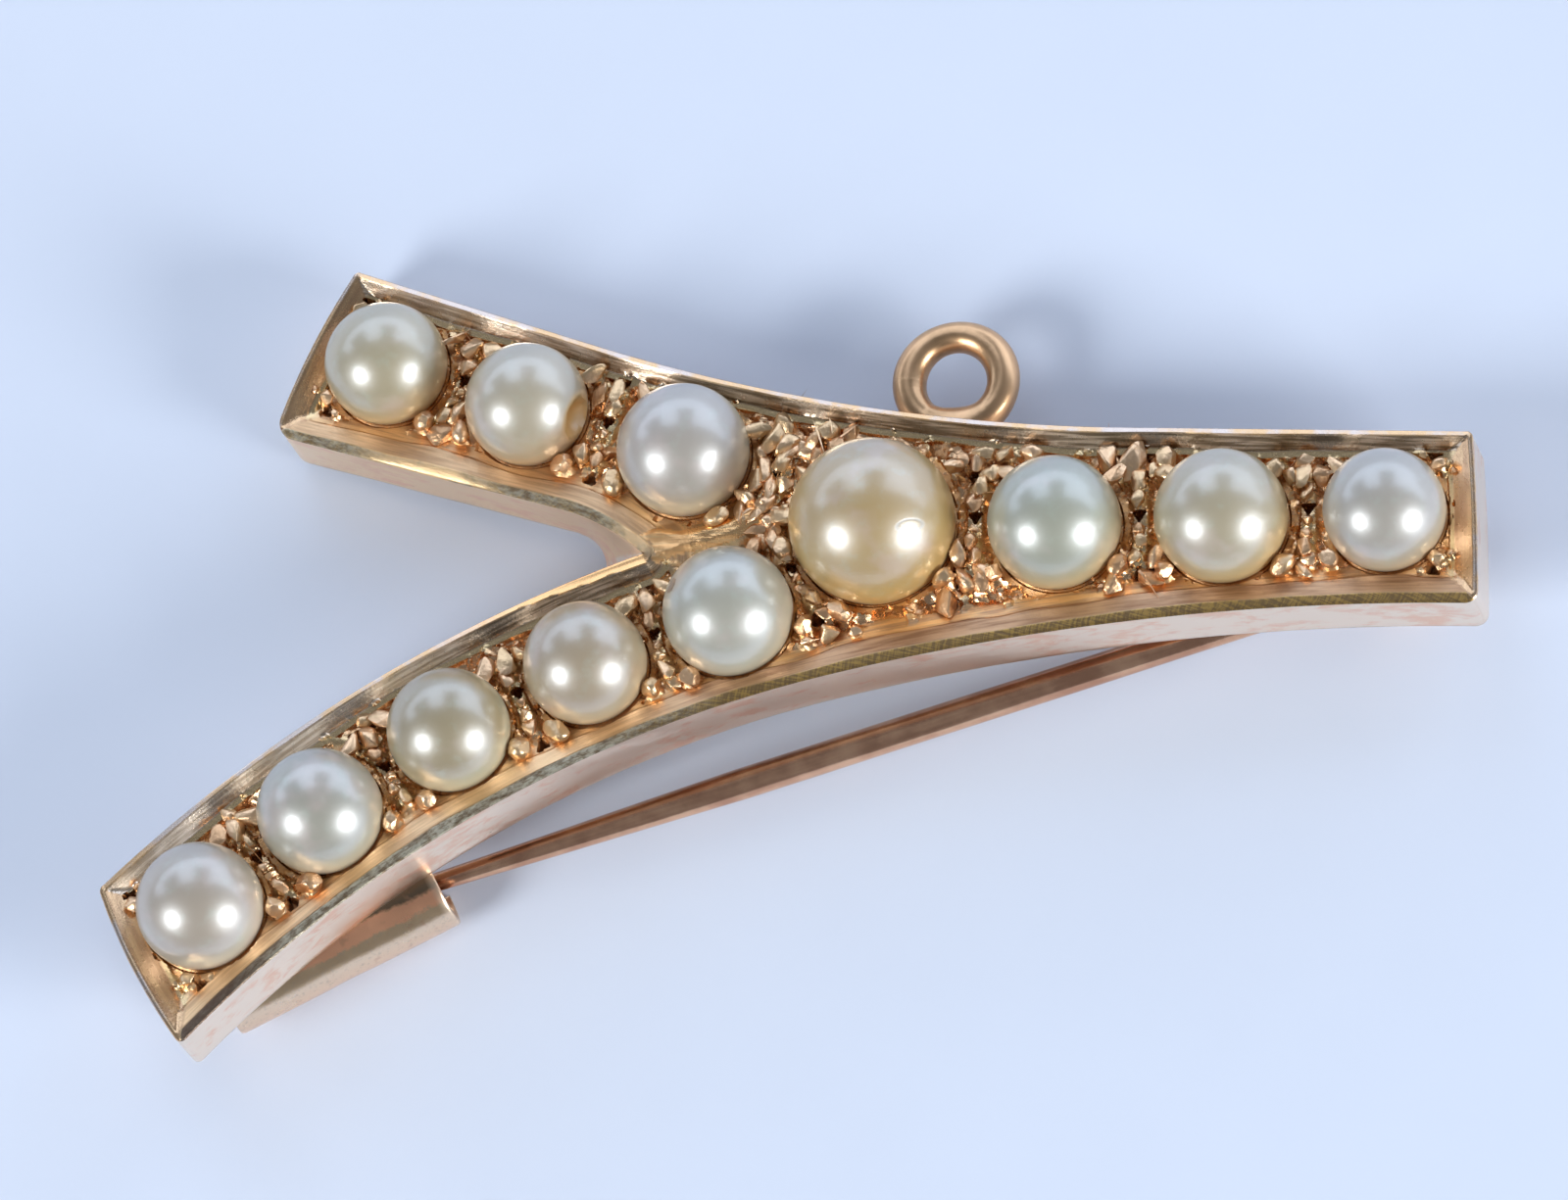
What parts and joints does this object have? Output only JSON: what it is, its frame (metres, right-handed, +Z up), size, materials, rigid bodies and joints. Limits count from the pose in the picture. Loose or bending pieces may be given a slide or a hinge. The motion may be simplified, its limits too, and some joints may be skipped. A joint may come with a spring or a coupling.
{
  "type": "pearl brooch",
  "caption": "Y-shaped gold bar brooch set with graduated button pearls, with a chain loop on the top edge and a hinged pin and rolled catch behind.",
  "frame": {"origin": "middle of the bounding box on the surface that the brooch lies on", "axes": "+X along the right arm toward its end, +Y toward the chain loop, +Z up from the surface"},
  "size_m": [0.034, 0.02, 0.0055],
  "materials": {
    "gold": "worn rose-yellow gold, bright-cut and engraved, with darker recesses",
    "pin_gold": "drawn coppery gold wire, lightly worn",
    "rivet_gold": "plain coppery gold",
    "pearl": "cream pearl with a soft bluish lustre"
  },
  "bodies": {
    "brooch": {"frame": "gold", "pearl_centre": "pearl", "pearl_right_1": "pearl", "pearl_right_2": "pearl", "pearl_right_3": "pearl", "pearl_upper_1": "pearl", "pearl_upper_2": "pearl", "pearl_upper_3": "pearl", "pearl_lower_1": "pearl", "pearl_lower_2": "pearl", "pearl_lower_3": "pearl", "pearl_lower_4": "pearl", "pearl_lower_5": "pearl", "hinge_rivet": "rivet_gold"},
    "pin": {"pin_stem": "pin_gold"}
  },
  "joints": [
    {"name": "pin_hinge", "type": "hinge", "parent": "brooch", "child": "pin", "pos_m": [0.01469, 0.00187, 0.00085], "axis": [0.2799, -0.9356, -0.2154], "range_deg": [0, 90]}
  ]
}
